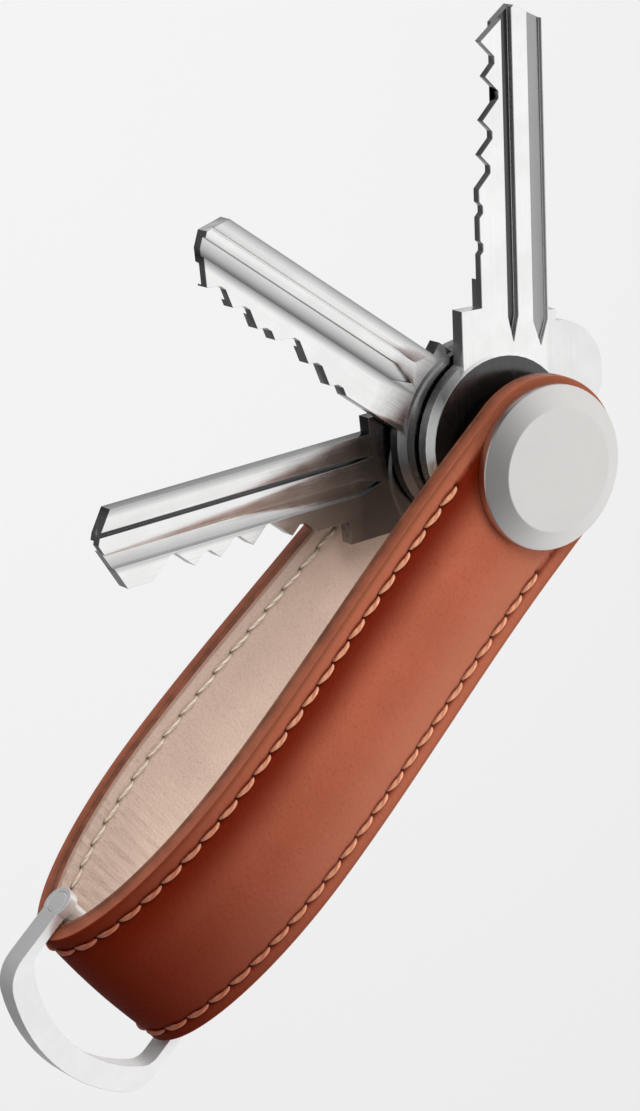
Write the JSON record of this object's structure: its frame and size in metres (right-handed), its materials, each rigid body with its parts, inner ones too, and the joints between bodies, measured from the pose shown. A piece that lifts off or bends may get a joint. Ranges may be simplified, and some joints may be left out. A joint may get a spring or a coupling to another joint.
{
  "type": "key organiser",
  "caption": "Folded leather strap clamped by a capped screw post that carries swivelling keys, with a metal D-ring hung in the fold.",
  "frame": {"origin": "middle of the front cap's flat face, on the post's axis", "axes": "+X from the post along the strap to the D-ring, +Z out of the front cap, +Y across the strap"},
  "size_m": [0.1261, 0.0624, 0.0218],
  "materials": {
    "tan_leather": "smooth waxed grain, dark brown painted edges",
    "fibre_board": "plain fibre",
    "beige_lining": "soft matt grain",
    "tan_thread": "waxed twist",
    "cream_thread": "waxed twist",
    "satin_steel": "bead-blasted satin",
    "key_steel": "drawn nickel silver, fine lengthwise brushing",
    "ring_steel": "tumbled satin",
    "black_nylon": "moulded",
    "brass": "turned"
  },
  "bodies": {
    "organiser_body": {"strap_outer_leather": "tan_leather", "strap_stiffener": "fibre_board", "strap_lining": "beige_lining", "needle_thread_near": "tan_thread", "needle_thread_far": "tan_thread", "bobbin_thread_near": "cream_thread", "bobbin_thread_far": "cream_thread", "front_cap_post": "satin_steel", "back_cap_screw": "satin_steel", "front_bushing": "brass", "rear_bushing": "brass", "front_friction_washer": "black_nylon", "rear_friction_washer": "black_nylon", "filler_washer": "black_nylon", "front_key_spacer": "black_nylon", "rear_key_spacer": "black_nylon"},
    "front_key": {"key_front": "key_steel"},
    "middle_key": {"key_middle": "key_steel"},
    "rear_key": {"key_rear": "key_steel"},
    "hanging_ring": {"d_ring": "ring_steel", "d_ring_bar": "ring_steel"}
  },
  "joints": [
    {"name": "front_key_pivot", "type": "hinge", "parent": "organiser_body", "child": "front_key", "pos_m": [0, 0, -0.01], "axis": [0, 0, 1], "continuous": true},
    {"name": "middle_key_pivot", "type": "hinge", "parent": "organiser_body", "child": "middle_key", "pos_m": [0, 0, -0.01], "axis": [0, 0, 1], "continuous": true},
    {"name": "rear_key_pivot", "type": "hinge", "parent": "organiser_body", "child": "rear_key", "pos_m": [0, 0, -0.01], "axis": [0, 0, 1], "continuous": true},
    {"name": "d_ring_swing", "type": "hinge", "parent": "organiser_body", "child": "hanging_ring", "pos_m": [0.07426, 0, -0.0109], "axis": [0, 1, 0], "range_deg": [-95, 95]}
  ]
}
